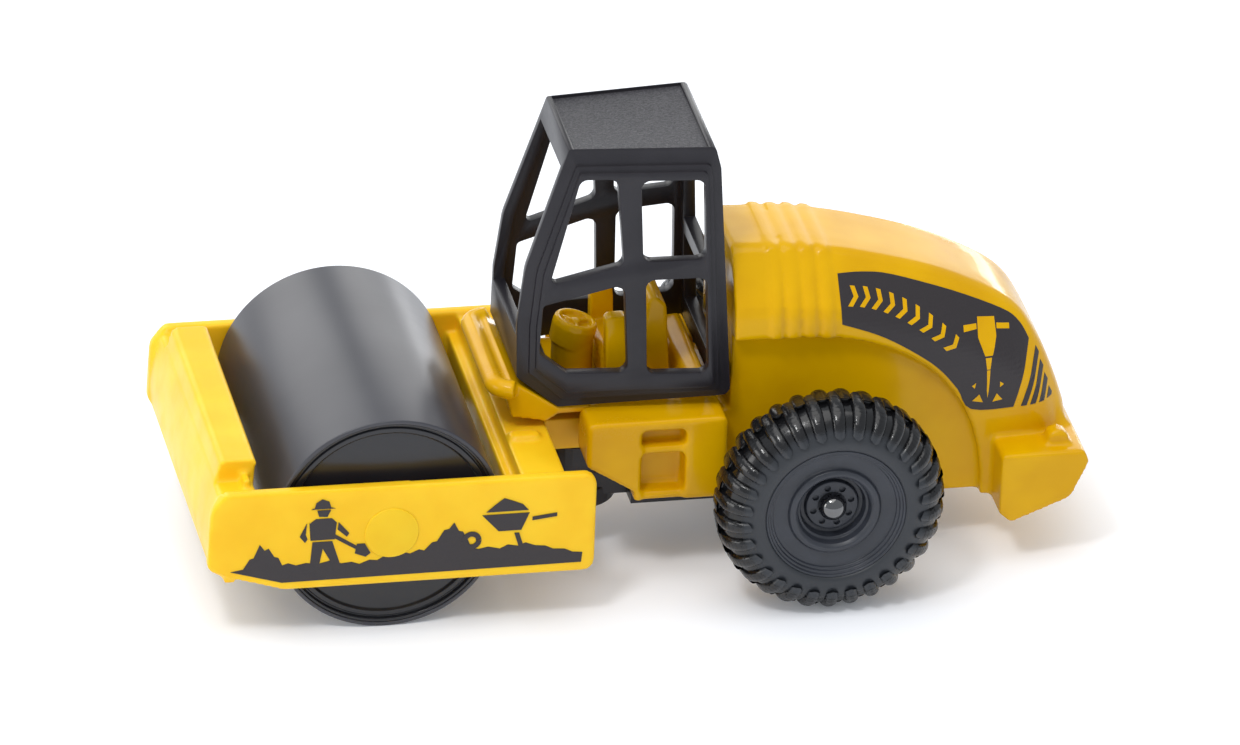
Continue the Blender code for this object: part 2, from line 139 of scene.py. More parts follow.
def crispMould(obj, width, segments=2, angle=32):
    modify(obj, "BEVEL", width=width * mm, segments=segments, limit_method="ANGLE",
           angle_limit=math.radians(angle))
    return smoothByAngle(obj, 40)


# outlines and solids

def roundedOutline(corners, steps=6):
    outline = []
    for index, (a, b, radius) in enumerate(corners):
        here = Vector((a, b))
        if radius == 0:
            outline.append((a, b))
            continue
        toLast = (Vector(corners[index - 1][:2]) - here).normalized()
        toNext = (Vector(corners[(index + 1) % len(corners)][:2]) - here).normalized()
        half = toLast.angle(toNext) / 2
        centre = here + (toLast + toNext).normalized() * radius / math.sin(half)
        start = here + toLast * radius / math.tan(half) - centre
        end = here + toNext * radius / math.tan(half) - centre
        for step in range(steps + 1):
            outline.append(tuple(centre + start.lerp(end, step / steps).normalized() * radius))
    return outline


def arcPoints(centre, radius, start, end, steps):
    angles = [math.radians(start + (end - start) * step / steps) for step in range(steps + 1)]
    return [(centre[0] + radius * math.cos(a), centre[1] + radius * math.sin(a)) for a in angles]


def curveValue(a, b, c, d, t):
    # a share t of the way from b to c on a Catmull-Rom curve
    square = 2 * a - 5 * b + 4 * c - d
    cube = 3 * b - a - 3 * c + d
    return 0.5 * (2 * b + (c - a) * t + square * t**2 + cube * t**3)


def smoothLine(points, steps):
    # a smooth curve through the points
    ends = [points[0], *points, points[-1]]
    line = []
    for p0, p1, p2, p3 in zip(ends, ends[1:], ends[2:], ends[3:]):
        for step in range(steps):
            line.append(tuple(curveValue(*values, step / steps) for values in zip(p0, p1, p2, p3)))
    return [*line, tuple(points[-1])]


def spot(axis, along, a, b):
    return {"X": Vector((along, a, b)), "Y": Vector((a, along, b)), "Z": Vector((a, b, along))}[axis] * mm


def flatOutline(name, outline, along, axis="Y"):
    deselectAll()
    bpy.ops.mesh.primitive_circle_add(vertices=len(outline), radius=mm, fill_type="NGON")
    obj = bpy.context.object
    obj.name = name
    for vertex, (a, b) in zip(obj.data.vertices, outline):
        vertex.co = spot(axis, along, a, b)
    return obj


def outlineSolid(name, outline, low, high, axis="Y"):
    obj = flatOutline(name, outline, low, axis)
    move = spot(axis, high - low, 0, 0)
    return editAll(obj, lambda: bpy.ops.mesh.extrude_region_move(TRANSFORM_OT_translate={"value": move}),
                   lambda: bpy.ops.mesh.select_all(action="SELECT"), outwards)


def blockSolid(name, low, high):
    low, high = Vector(low), Vector(high)
    deselectAll()
    bpy.ops.mesh.primitive_cube_add(size=mm, location=(low + high) / 2 * mm, scale=high - low)
    obj = bpy.context.object
    obj.name = name
    return freeze(obj)


def loftSolid(name, rings):
    # grows a filled circle along X ring by ring, then moves every ring to its own section
    count = len(rings[0])
    deselectAll()
    bpy.ops.mesh.primitive_circle_add(vertices=count, radius=1, fill_type="NGON",
                                      rotation=(0, math.pi / 2, 0))
    obj = freeze(bpy.context.object)
    obj.name = name

    def growRing():
        bpy.ops.mesh.extrude_region_move(TRANSFORM_OT_translate={"value": (1, 0, 0)})

    editAll(obj, *[growRing] * (len(rings) - 1))
    first = Vector(obj.data.vertices[0].co)
    across = Vector(obj.data.vertices[1].co)
    turn = math.copysign(1, first.y * across.z - first.z * across.y)
    start = math.atan2(first.z, first.y)
    for vertex in obj.data.vertices:
        angle = (math.atan2(vertex.co.z, vertex.co.y) - start) * turn
        ring = round(vertex.co.x)
        vertex.co = Vector(rings[ring][round(angle / math.tau * count) % count]) * mm
    return editAll(obj, outwards)


def turnedSolid(name, profile, centre, steps=96, axis="Y", side=1):
    # a closed profile of (radius, along) points turned about an axis through centre
    deselectAll()
    bpy.ops.mesh.primitive_circle_add(vertices=len(profile), radius=mm, fill_type="NOTHING")
    obj = bpy.context.object
    obj.name = name
    for vertex, (radius, along) in zip(obj.data.vertices, profile):
        vertex.co = Vector((radius, 0, along)) * mm
    modify(obj, "SCREW", axis="Z", angle=math.tau, steps=steps, render_steps=steps,
           use_merge_vertices=True, merge_threshold=0.001 * mm)
    editAll(obj, mergeDoubles, lambda: bpy.ops.mesh.dissolve_degenerate(threshold=0.001 * mm),
            lambda: bpy.ops.mesh.delete_loose(), lambda: bpy.ops.mesh.select_all(action="SELECT"), outwards)
    if axis == "Y":
        obj.rotation_euler.x = -math.pi / 2 * side
    obj.location = Vector(centre) * mm
    return freeze(obj)


def smoothByAngle(obj, angle=35):
    pick(obj)
    bpy.ops.object.shade_smooth_by_angle(angle=math.radians(angle))
    return obj


def finishPiece(obj, body, slot, material, *replaced):
    obj.data.materials.clear()
    obj.data.materials.append(material)
    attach(obj, body)
    if replaced:
        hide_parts(*replaced)
    return obj


# shader maths on wrapped sockets

class wire:
    def __init__(self, maker, socket):
        self.maker = maker
        self.socket = socket

    def __add__(self, other):
        return self.maker.maths("ADD", self, other)

    def __radd__(self, other):
        return self.maker.maths("ADD", other, self)

    def __sub__(self, other):
        return self.maker.maths("SUBTRACT", self, other)

    def __rsub__(self, other):
        return self.maker.maths("SUBTRACT", other, self)

    def __mul__(self, other):
        return self.maker.maths("MULTIPLY", self, other)

    def __rmul__(self, other):
        return self.maker.maths("MULTIPLY", other, self)

    def __pow__(self, other):
        return self.maker.maths("POWER", self, other)


class finishMaker:
    def __init__(self, name, settings):
        self.material = bpy.data.materials.new(name)
        self.material.use_nodes = True
        self.tree = self.material.node_tree
        self.shader = self.tree.nodes["Principled BSDF"]
        for key, value in settings.items():
            self.shader.inputs[key].default_value = value
        self.place = self.node("TexCoord", output="Object")

    def node(self, kind, settings=None, inputs=None, output=0):
        made = self.tree.nodes.new("ShaderNode" + kind)
        for key, value in (settings or {}).items():
            setattr(made, key, value)
        for key, value in (inputs or {}).items():
            if isinstance(value, wire):
                self.tree.links.new(value.socket, made.inputs[key])
            else:
                made.inputs[key].default_value = value
        return wire(self, made.outputs[output])

    def maths(self, operation, *values):
        return self.node("Math", {"operation": operation}, dict(enumerate(values)))

    def noise(self, size, detail=3.0, roughness=0.5, stretch=(1, 1, 1)):
        # size is the pattern's rough feature size in millimetres
        where = self.node("Mapping", {}, {"Vector": self.place, "Scale": stretch})
        return self.node("TexNoise", {}, {"Vector": where, "Scale": 1 / (size * mm), "Detail": detail,
                                          "Roughness": roughness})

    def band(self, value, low, high):
        # 0 below low, 1 above high, smooth between
        return self.node("MapRange", {"interpolation_type": "SMOOTHSTEP"},
                         {"Value": value, "From Min": low, "From Max": high})

    def mixed(self, factor, first, second):
        return self.node("Mix", {"data_type": "RGBA"}, {0: factor, 6: first, 7: second}, output=2)

    def bump(self, height, distance):
        return self.node("Bump", {}, {"Height": height, "Distance": distance * mm, "Strength": 1.0})

    def split(self):
        return [self.node("SeparateXYZ", {}, {"Vector": self.place}, output=axis) for axis in "XYZ"]

    def connect(self, **links):
        names = {"colour": "Base Color", "rough": "Roughness", "normal": "Normal"}
        for key, value in links.items():
            self.tree.links.new(value.socket, self.shader.inputs[names[key]])
        return self.material


def linear(level):
    # a display level from 0 to 255 as the linear light that a shader takes
    return ((level / 255 + 0.055) / 1.055) ** 2.4 if level > 10 else level / 255 / 12.92


def rgb(red, green, blue):
    return (linear(red), linear(green), linear(blue), 1.0)


def castingPaint():
    # thick enamel over a zinc casting: slow waves in the gloss, a little deeper colour in drifts
    look = {"base": rgb(221, 169, 0), "deep": rgb(210, 156, 0)}
    paint = finishMaker("castingPaint", {"Coat Weight": 0.16, "Coat Roughness": 0.04,
                                         "Specular IOR Level": 0.12})
    drift = paint.noise(9, 3)
    peel = paint.noise(1.1, 2)
    speck = paint.noise(0.25, 2)
    colour = paint.mixed(paint.band(drift, 0.35, 0.7), look["base"], look["deep"])
    rough = 0.16 + 0.1 * paint.band(drift, 0.3, 0.75) + 0.04 * speck
    return paint.connect(colour=colour, rough=rough, normal=paint.bump(peel + 0.15 * speck, 0.012))


def framePlastic():
    # semi-gloss moulded plastic, slightly waxy
    look = {"base": rgb(246, 198, 32), "deep": rgb(240, 187, 20)}
    paint = finishMaker("framePlastic", {"Subsurface Weight": 0.12, "Subsurface Scale": 0.0015,
                                         "Specular IOR Level": 0.25})
    drift = paint.noise(7, 3)
    grain = paint.noise(0.18, 3)
    flow = paint.noise(3, 2, stretch=(0.25, 1, 1))
    colour = paint.mixed(paint.band(drift, 0.35, 0.7), look["base"], look["deep"])
    rough = 0.3 + 0.1 * paint.band(flow, 0.3, 0.75) + 0.05 * grain
    return paint.connect(colour=colour, rough=rough, normal=paint.bump(grain + 0.8 * flow, 0.008))


def cabPlastic():
    look = {"base": rgb(37, 35, 40), "deep": rgb(31, 29, 34)}
    paint = finishMaker("cabPlastic", {"Specular IOR Level": 0.36})
    drift = paint.noise(5, 3)
    grain = paint.noise(0.16, 4)
    colour = paint.mixed(paint.band(drift, 0.35, 0.7), look["base"], look["deep"])
    rough = 0.27 + 0.08 * drift + 0.06 * grain
    return paint.connect(colour=colour, rough=rough, normal=paint.bump(grain, 0.01))


def roofGrain():
    look = {"base": rgb(66, 65, 70), "pit": rgb(42, 41, 46)}
    paint = finishMaker("roofGrain", {"Specular IOR Level": 0.5})
    grain = paint.noise(0.27, 3, 0.6)
    fine = paint.noise(0.14, 2)
    bumps = paint.band(grain, 0.36, 0.66)
    colour = paint.mixed(bumps, look["pit"], look["base"])
    return paint.connect(colour=colour, rough=0.42 + 0.2 * fine, normal=paint.bump(bumps + 0.3 * fine, 0.06))


def drumPlastic():
    # polished by rolling: fine scratches round the drum
    look = {"base": rgb(60, 60, 66), "deep": rgb(54, 54, 60)}
    paint = finishMaker("drumPlastic", {"Specular IOR Level": 0.5})
    drift = paint.noise(11, 2)
    grain = paint.noise(0.15, 3)
    lines = paint.noise(0.5, 3, stretch=(0.04, 1, 0.04))
    colour = paint.mixed(paint.band(drift, 0.3, 0.7), look["base"], look["deep"])
    rough = 0.33 + 0.03 * lines + 0.02 * drift
    return paint.connect(colour=colour, rough=rough, normal=paint.bump(grain + 0.6 * lines, 0.002))


def drumEndPlastic():
    look = {"base": rgb(38, 38, 42), "deep": rgb(30, 30, 34)}
    paint = finishMaker("drumEndPlastic", {"Specular IOR Level": 0.5})
    drift = paint.noise(4, 3)
    grain = paint.noise(0.2, 3)
    colour = paint.mixed(drift, look["deep"], look["base"])
    return paint.connect(colour=colour, rough=0.15 + 0.08 * drift, normal=paint.bump(grain, 0.004))


def tyreRubber():
    # glossy lugs and crown, satin sidewall; the radius comes from the wheel's own centre
    look = {"lug": rgb(18, 18, 20), "wall": rgb(40, 43, 48), "wallFrom": 9.9, "wallTo": 9.1}
    paint = finishMaker("tyreRubber", {"Specular IOR Level": 0.5})
    x, y, z = paint.split()
    across = x - wheelCentre.x * mm
    height = z - wheelCentre.z * mm
    radius = (across * across + height * height) ** 0.5
    wall = paint.band(radius, look["wallFrom"] * mm, look["wallTo"] * mm)
    drift = paint.noise(2.5, 3)
    grain = paint.noise(0.2, 3)
    colour = paint.mixed(wall, look["lug"], look["wall"])
    rough = 0.15 + 0.25 * wall + 0.08 * drift
    return paint.connect(colour=colour, rough=rough, normal=paint.bump(grain + 0.5 * drift, 0.007))


def hubPlastic():
    look = {"base": rgb(48, 51, 59), "deep": rgb(41, 44, 51)}
    paint = finishMaker("hubPlastic", {"Specular IOR Level": 0.5})
    drift = paint.noise(3, 3)
    grain = paint.noise(0.18, 3)
    colour = paint.mixed(paint.band(drift, 0.3, 0.7), look["deep"], look["base"])
    return paint.connect(colour=colour, rough=0.34 + 0.1 * drift, normal=paint.bump(grain, 0.006))


def domePlastic():
    paint = finishMaker("domePlastic", {"Coat Weight": 1.0, "Coat Roughness": 0.03, "Coat IOR": 1.8,
                                         "Specular IOR Level": 1.0})
    drift = paint.noise(0.8, 2)
    colour = paint.mixed(drift, rgb(14, 14, 16), rgb(24, 24, 27))
    return paint.connect(colour=colour, rough=0.05 + 0.05 * drift, normal=paint.bump(drift, 0.003))


def turnedSteel():
    paint = finishMaker("turnedSteel", {"Metallic": 1.0})
    lines = paint.noise(0.3, 3, stretch=(1, 0.2, 1))
    colour = paint.mixed(lines, rgb(150, 150, 154), rgb(186, 186, 188))
    return paint.connect(colour=colour, rough=0.26 + 0.16 * lines, normal=paint.bump(lines, 0.004))


def printedInk():
    # pad-printed ink, faintly speckled
    paint = finishMaker("printedInk", {"Specular IOR Level": 0.35})
    speck = paint.noise(0.16, 3)
    colour = paint.mixed(speck, rgb(44, 40, 42), rgb(53, 48, 50))
    return paint.connect(colour=colour, rough=0.3 + 0.12 * speck, normal=paint.bump(speck, 0.002))


materials = {
    "casting": castingPaint(), "frame": framePlastic(), "cab": cabPlastic(), "roof": roofGrain(),
    "drum": drumPlastic(), "drumEnd": drumEndPlastic(), "tyre": tyreRubber(), "hub": hubPlastic(),
    "dome": domePlastic(), "steel": turnedSteel(), "ink": printedInk(),
}
print("materials made")


# camera, floor and light

cameraSettings = {"azimuth": -12.3, "elevation": 28, "roll": 2.2, "distance": 1386, "lens": 400,
                  "aim": (-0.4, 0, 17.9), "clip": (0.01, 20)}


def makeCamera():
    azimuth = math.radians(cameraSettings["azimuth"])
    elevation = math.radians(cameraSettings["elevation"])
    away = Vector((math.sin(azimuth) * math.cos(elevation), -math.cos(azimuth) * math.cos(elevation),
                   math.sin(elevation)))
    place = Vector(cameraSettings["aim"]) + away * cameraSettings["distance"]
    deselectAll()
    bpy.ops.object.camera_add(location=place * mm)
    camera = bpy.context.object
    turn = away.to_track_quat("Z", "Y").to_matrix().to_4x4()
    spin = Matrix.Rotation(math.radians(cameraSettings["roll"]), 4, "Z")
    camera.matrix_world = Matrix.Translation(camera.location) @ turn @ spin
    camera.data.lens = cameraSettings["lens"]
    camera.data.clip_start, camera.data.clip_end = cameraSettings["clip"]
    bpy.context.scene.camera = camera


# floor width in metres, and the faint glow that keeps it pale
stageSettings = {"width": 6, "glow": (0.93, 0.96, 1.0, 1.0), "glowStrength": 0.1}


def makeStage():
    deselectAll()
    bpy.ops.mesh.primitive_plane_add(size=stageSettings["width"])
    floor = bpy.context.object
    floor.name = "floor"
    paint = finishMaker("floorPaper", {"Specular IOR Level": 0.2, "Emission Color": stageSettings["glow"],
                                       "Emission Strength": stageSettings["glowStrength"]})
    drift = paint.noise(300, 2)
    paint.connect(colour=paint.mixed(drift, rgb(243, 245, 250), rgb(247, 248, 252)), rough=0.6 + 0.1 * drift)
    floor.data.materials.append(paint.material)


# name: (place, width and height, power in watts, colour), every light looks at the toy
warmWhite = (1.0, 0.985, 0.96)
white = (1.0, 1.0, 1.0)
lights = {
    "overhead": ((-60, -60, 600), (600, 600), 1.9, warmWhite),
    "backLeft": ((-230, 590, 320), (420, 420), 1.2, warmWhite),
    "backRight": ((230, 580, 250), (300, 300), 0.6, warmWhite),
    "fillLeft": ((-600, -120, 170), (260, 260), 0.75, warmWhite),
    "lowStrip": ((340, 560, 35), (160, 60), 0.22, white),
    "spark": ((-210, -260, 520), (90, 90), 0.9, white),
}
skySettings = {"Color": (0.9, 0.95, 1.0, 1), "Strength": 0.62}


def makeLights():
    for name, (place, size, power, colour) in lights.items():
        deselectAll()
        bpy.ops.object.light_add(type="AREA", location=Vector(place) * mm)
        light = bpy.context.object
        light.name = name
        light.data.shape = "RECTANGLE"
        light.data.size, light.data.size_y = (length * mm for length in size)
        light.data.energy = power
        light.data.color = colour
        turn = Vector(place).to_track_quat("Z", "Y").to_matrix().to_4x4()
        light.matrix_world = Matrix.Translation(Vector(place) * mm) @ turn
    world = bpy.data.worlds.new("studio")
    world.use_nodes = True
    for key, value in skySettings.items():
        world.node_tree.nodes["Background"].inputs[key].default_value = value
    bpy.context.scene.world = world
    bpy.context.scene.view_settings.view_transform = "Standard"


makeCamera()
makeStage()
makeLights()
print("camera, floor and lights made")


# drum

# the disc profile is (radius, depth, rounding) from the axle hole out, before its rim
drumShape = {
    "wall": 1.2, "lip": 0.42, "lipDepth": 1, "discGap": 0.02, "discBack": -0.95,
    "disc": [(1.08, -0.3, 0.05), (2.3, -0.3, 0.12), (2.5, -0.7, 0.1), (9.9, -0.7, 0.15), (10.1, -0.38, 0.1),
             (10.55, -0.38, 0.08), (10.65, -0.6, 0.05), (10.8, -0.6, 0.05), (10.9, -0.2, 0.1)],
}


def makeDrum():
    outer, inner = drumRadius, drumRadius - drumShape["wall"]
    lip = outer - drumShape["lip"]
    depth = drumShape["lipDepth"]
    tube = roundedOutline([
        (outer, drumHalf, 0.16), (outer, -drumHalf, 0.16), (lip, -drumHalf, 0.1), (lip, depth - drumHalf, 0),
        (inner, depth - drumHalf, 0), (inner, drumHalf - depth, 0), (lip, drumHalf - depth, 0),
        (lip, drumHalf, 0.1)], 4)
    shell = smoothByAngle(turnedSolid("drumBarrel", tube, drumCentre, 160))
    finishPiece(shell, "drum", "drum_plastic", materials["drum"], "drum_shell")
    rim = lip - drumShape["discGap"]
    back = drumShape["discBack"]
    end = roundedOutline([
        (drumShape["disc"][0][0], back, 0), *drumShape["disc"], (rim, -0.14, 0.05), (rim, back, 0)], 3)
    for name, side in sides.items():
        disc = turnedSolid(f"drumDisc{name.title()}", end,
                           (drumCentre.x, side * drumHalf, drumCentre.z), 128, side=side)
        smoothByAngle(disc)
        finishPiece(disc, "drum", "drum_plastic", materials["drumEnd"], f"drum_end_{name}")


makeDrum()
print("drum made")


# drum frame

# side, front and beam outlines are (X, Z) with a rounding where there is a third number
frameShape = {
    "plateInner": 17.3, "plateInset": 0.15, "lap": 0.4, "voxel": 0.24, "passes": 3,
    "side": [(-6.3, 16.7, 1.3), (-43.8, 16.9, 1.0), (-45.3, 15.0, 2.2), (-45.5, 8.5, 1.0), (-43.0, 7.5, 0.3),
             (-37.6, 5.8, 0.6), (-6.3, 5.8, 1.3)],
    "bow": [(-44.3, 16.3), (-45.0, 13.5), (-45.3, 10.5), (-45.0, 7.9)],
    "bowBack": [(-43.2, 6.9), (-41.4, 6.9), (-40.8, 12)], "bowTop": (-40.4, 16.3),
    "frontTop": [(-40.0, 18.5, 0.4), (-43.7, 18.5, 0.7), (-45.0, 13.0, 0), (-40.6, 13.0, 0)],
    "frontHalf": 14.4,
    "rearBeam": [(-9.2, 16.2), (-13.7, 16.2), (-13.7, 14.4), (-14.8, 14.4), (-14.4, 8.0), (-10.4, 8.0),
                 (-10.4, 12.5), (-9.2, 12.5)],
    "pivotX": -5, "tongueHalf": 4.8, "tongueFrom": -10, "tongueZ": (12.1, 15.6), "pinHole": 1.6,
    "bumpX": (-13.5, -10.4), "bumpY": (8.3, 9.9), "bumpZ": (15.6, 16.75),
    "pegX": (-43.7, -42.7), "pegY": (17.4, 18.3), "pegZ": (6.9, 8.4),
    "nibX": (-41.6, -40.9), "nibY": (14.3, 16.2), "nibZ": (15.6, 17.2),
    "boss": [(0, -1.1, 0), (2.75, -1.1, 0), (2.75, 0.13, 0.12), (0, 0.13, 0)],
}


def roundedBlock(name, spanX, spanY, spanZ, radius, steps):
    corners = [(spanX[0], spanY[0]), (spanX[1], spanY[0]), (spanX[1], spanY[1]), (spanX[0], spanY[1])]
    return outlineSolid(name, roundedOutline([(*corner, radius) for corner in corners], steps), *spanZ, "Z")


def makeTongue():
    pivot, half = frameShape["pivotX"], frameShape["tongueHalf"]
    start = frameShape["tongueFrom"]
    outline = [(start, -half), *arcPoints((pivot, 0), half, -90, 90, 24), (start, half)]
    hole = arcPoints((pivot, 0), frameShape["pinHole"], 0, 345, 23)
    return cutAway(outlineSolid("tongue", outline, *frameShape["tongueZ"], "Z"),
                   outlineSolid("pinHole", hole, 11, 17, "Z"))


def makeDrumFrame():
    inner, outer = frameShape["plateInner"], frameHigh.y - frameShape["plateInset"]
    lap = inner + frameShape["lap"]
    half = frameShape["frontHalf"]
    side = roundedOutline(frameShape["side"])
    front = [frameShape["bowTop"], *smoothLine(frameShape["bow"], 4), *frameShape["bowBack"]]
    pieces = [outlineSolid("drumFrameMoulding", side, inner, outer),
              outlineSolid("plate", side, -outer, -inner),
              outlineSolid("frontWall", front, -lap, lap),
              outlineSolid("frontTop", roundedOutline(frameShape["frontTop"]), -half, half),
              outlineSolid("rearBeam", frameShape["rearBeam"], -lap, lap),
              makeTongue()]
    for sign in sides.values():
        pieces.append(roundedBlock("bump", frameShape["bumpX"], sideSpan(sign, *frameShape["bumpY"]),
                                   frameShape["bumpZ"], 0.6, 4))
        pieces.append(blockSolid("peg", *zip(frameShape["pegX"], sideSpan(sign, *frameShape["pegY"]),
                                             frameShape["pegZ"])))
        pieces.append(roundedBlock("nib", frameShape["nibX"], sideSpan(sign, *frameShape["nibY"]),
                                   frameShape["nibZ"], 0.1, 2))
    frameBody = softMould(joinAll(pieces), frameShape["voxel"], frameShape["passes"])
    face = roundedOutline(frameShape["boss"], 3)
    bosses = []  # crisp rings round the drum axle, so they join after the soft skin is made
    for sign in sides.values():
        place = (drumCentre.x, sign * outer, drumCentre.z)
        bosses.append(smoothByAngle(turnedSolid("boss", face, place, 64, side=sign)))
    frameBody = joinAll([frameBody, *bosses])
    finishPiece(frameBody, "drum_frame", "frame_plastic", materials["frame"], "drum_frame")


makeDrumFrame()
print("drum frame made")


# body casting

# the hood's top line from front to rear, with four ribs across it
hoodShape = {
    "line": [(9.4, 34.0), (14.0, 33.8), (18.0, 33.4), (23.0, 32.4), (30.0, 30.3), (36.0, 27.5), (39.4, 25.0),
             (41.6, 21.6), (43.3, 17.6), (44.4, 14.4)],
    "ribs": (13.6, 15.35, 17.1, 18.85), "ribHalf": 0.42, "ribFoot": 0.6, "ribHeight": 0.36, "ribTop": 0.13,
    "ribZone": (12.9, 19.6), "tailFrom": 36, "tailLength": 8.4, "floor": 6.0,
    "voxel": 0.27, "passes": 4,
}
castingShape = {
    "wellX": (8.0, 35.35), "wellY": (7.3, 12), "wellZ": (4.0, 25.3),
    "archSpots": (14, 17, 20, 22.5, 25, 27, 29, 30.5, 32, 33.2, 34.2, 34.9, 35.3),
    "pocket": [(9.0, 5.0), (9.0, 7.4), (34.0, 7.4), (34.0, 5.0)], "pocketHalf": 5.9, "axleHole": 1.4,
    "bulkhead": ((2.0, -7.3, 7.4), (10.4, 7.3, 16.9)),
    "weight": [(36.4, 12.6, 0.5), (36.4, 6.0, 0), (37.6, 4.9, 0.7), (43.7, 7.4, 1.2), (45.5, 11.4, 1.1),
               (44.9, 12.6, 0.5)], "weightHalf": 13.0,
    "step": [(-5.9, 18.3, 0.7), (-5.9, 13.5, 0.3), (-1.0, 10.4, 0.3), (-0.6, 9.2, 0.2), (8.4, 9.2, 0),
             (8.4, 18.3, 0.7)], "stepY": (6.4, 11.5),
    "recessX": (-0.3, 4.2), "recessY": (9.4, 13), "recessZ": (8.0, 17.2),
    "treadY": (9.0, 11.3), "treadX": (-0.5, 4.4), "treadZ": (14.5, 15.3),
    "lowTreadX": (-1.0, 4.8), "lowTreadZ": (9.3, 10.2),
    "lamp": [(41.0, 12.2, 0), (43.8, 12.2, 0), (43.6, 13.6, 0.4), (42.7, 14.1, 0.5), (41.7, 13.9, 0.4)],
    "lampY": (9.3, 11.3),
}


def hoodStations():
    # X, top height and rib lift of every cross-section, from front to rear
    line = smoothLine(hoodShape["line"], 5)
    low, high = hoodShape["ribZone"]
    stations = [(x, z, 0) for x, z in line if not low < x < high]
    half, foot = hoodShape["ribHalf"], hoodShape["ribFoot"]
    spots = [low, high]
    for rib in hoodShape["ribs"]:
        spots += [rib - foot, rib - half, rib + half, rib + foot]
    for x in spots:
        before, after = next((a, b) for a, b in zip(line, line[1:]) if a[0] <= x <= b[0])
        top = before[1] + (after[1] - before[1]) * (x - before[0]) / (after[0] - before[0])
        raised = any(abs(x - rib) < 0.5 for rib in hoodShape["ribs"])
        stations.append((x, top, hoodShape["ribHeight"] * raised))
    return sorted(stations)


def hoodRings():
    rings = []
    for x, top, lift in hoodStations():
        high = min(lift, hoodShape["ribTop"])
        tail = max(0, (x - hoodShape["tailFrom"]) / hoodShape["tailLength"])
        narrow = 1.0 * tail**2  # the hood narrows and rises towards its tail
        floor = hoodShape["floor"] + 3.5 * tail
        crease = max(top - 5.2, 12.8)
        lower = max(top - 8.6, 12.0)
        # half a section as (Y, Z), from the middle of the top down to the middle of the floor
        half = [
            (0, top + high), (2.4, top + high), (4.3, top - 0.05 + high), (5.1, top - 0.4 + lift),
            (5.65, top - 1.1 + lift * 0.7), (8.15 - narrow + lift, crease),
            (8.5 - narrow + lift, crease - 1.2), (8.8 - narrow + lift, lower), (8.8 - narrow, lower - 0.5),
            (8.8 - narrow, floor), (4, floor), (0, floor)]
        rings.append([(x, y, z) for y, z in half] + [(x, -y, z) for y, z in reversed(half[1:-1])])
    return rings


def archHeight(x):
    part = min(1, max(0, (x - 14.0) / 21.4))
    return 5.5 + 19.8 * (1 - part**2.4) ** (1 / 2.4)


def makeHood():
    hood = loftSolid("castBody", hoodRings())
    front, rear = castingShape["wellX"]
    bottom, top = castingShape["wellZ"]
    arch = [(x, archHeight(x)) for x in castingShape["archSpots"]]
    for sign in sides.values():
        well = outlineSolid("well", [(front, top), *arch, (rear, bottom), (front, bottom)],
                            *sideSpan(sign, *castingShape["wellY"]))
        cutAway(hood, well)
    half, hole = castingShape["pocketHalf"], castingShape["axleHole"]
    return cutAway(hood, outlineSolid("pocket", castingShape["pocket"], -half, half),
                   turnedSolid("axleHole", [(0, -12), (hole, -12), (hole, 12), (0, 12)], wheelCentre, 32))


def makeStep(sign):
    step = outlineSolid("step", roundedOutline(castingShape["step"]), *sideSpan(sign, *castingShape["stepY"]))
    cutAway(step, blockSolid("recess", *zip(castingShape["recessX"], sideSpan(sign, *castingShape["recessY"]),
                                            castingShape["recessZ"])))
    low, high = sideSpan(sign, *castingShape["treadY"])
    tread = blockSolid("tread", *zip(castingShape["treadX"], (low, high), castingShape["treadZ"]))
    lowTread = blockSolid("lowTread", *zip(castingShape["lowTreadX"], (low, high + 0.25 * (sign > 0)),
                                           castingShape["lowTreadZ"]))
    return [step, tread, lowTread]


def makeCasting():
    weightHalf = castingShape["weightHalf"]
    pieces = [makeHood(), blockSolid("bulkhead", *castingShape["bulkhead"]),
              outlineSolid("weight", roundedOutline(castingShape["weight"]), -weightHalf, weightHalf)]
    for sign in sides.values():
        pieces += makeStep(sign)
        pieces.append(outlineSolid("lamp", roundedOutline(castingShape["lamp"]),
                                   *sideSpan(sign, *castingShape["lampY"])))
    casting = softMould(joinAll(pieces), hoodShape["voxel"], hoodShape["passes"])
    finishPiece(casting, "body", "casting_paint", materials["casting"], "body_casting")
    return casting


casting = makeCasting()
print("body casting made")


# interior: tray with the nose bar, seat and steering console

trayShape = {
    "floor": ((-10.0, -6.1, 17.2), (7.4, 6.1, 18.3)), "sideFloor": ((-8.6, -7.5, 17.7), (-5.0, 7.5, 18.5)),
    "wedge": [(-13.9, 21.3), (-12.9, 17.6), (-9.3, 16.9), (-8.4, 17.5), (-8.4, 18.6), (-13.0, 21.6)],
    "wedgeHalf": 7.4,
    "shelf": [(4.4, 18.0, 0), (4.9, 20.6, 0.8), (7.0, 21.2, 0.6), (7.0, 18.0, 0)], "shelfHalf": 6.4,
    "bar": [(-12.8, 8.0, 0), (-14.6, 7.3, 1.6), (-14.6, -7.3, 1.6), (-12.8, -8.0, 0)], "barZ": 21.0,
    "barRadius": 1.0, "voxel": 0.2, "passes": 3,
}
seatShape = {
    "back": [(-3.0, 18.6, 0), (4.0, 18.6, 0), (3.4, 27.0, 0.6), (1.7, 28.6, 0.6), (0.9, 23.0, 0.6),
             (-3.2, 22.2, 0.8)], "backHalf": 3.4,
    "arm": [(-2.8, 18.6, 0), (-0.4, 18.6, 0), (-0.8, 26.8, 0.6), (-3.1, 26.8, 0.6)], "armY": (3.2, 4.9),
    "voxel": 0.18, "passes": 3,
}
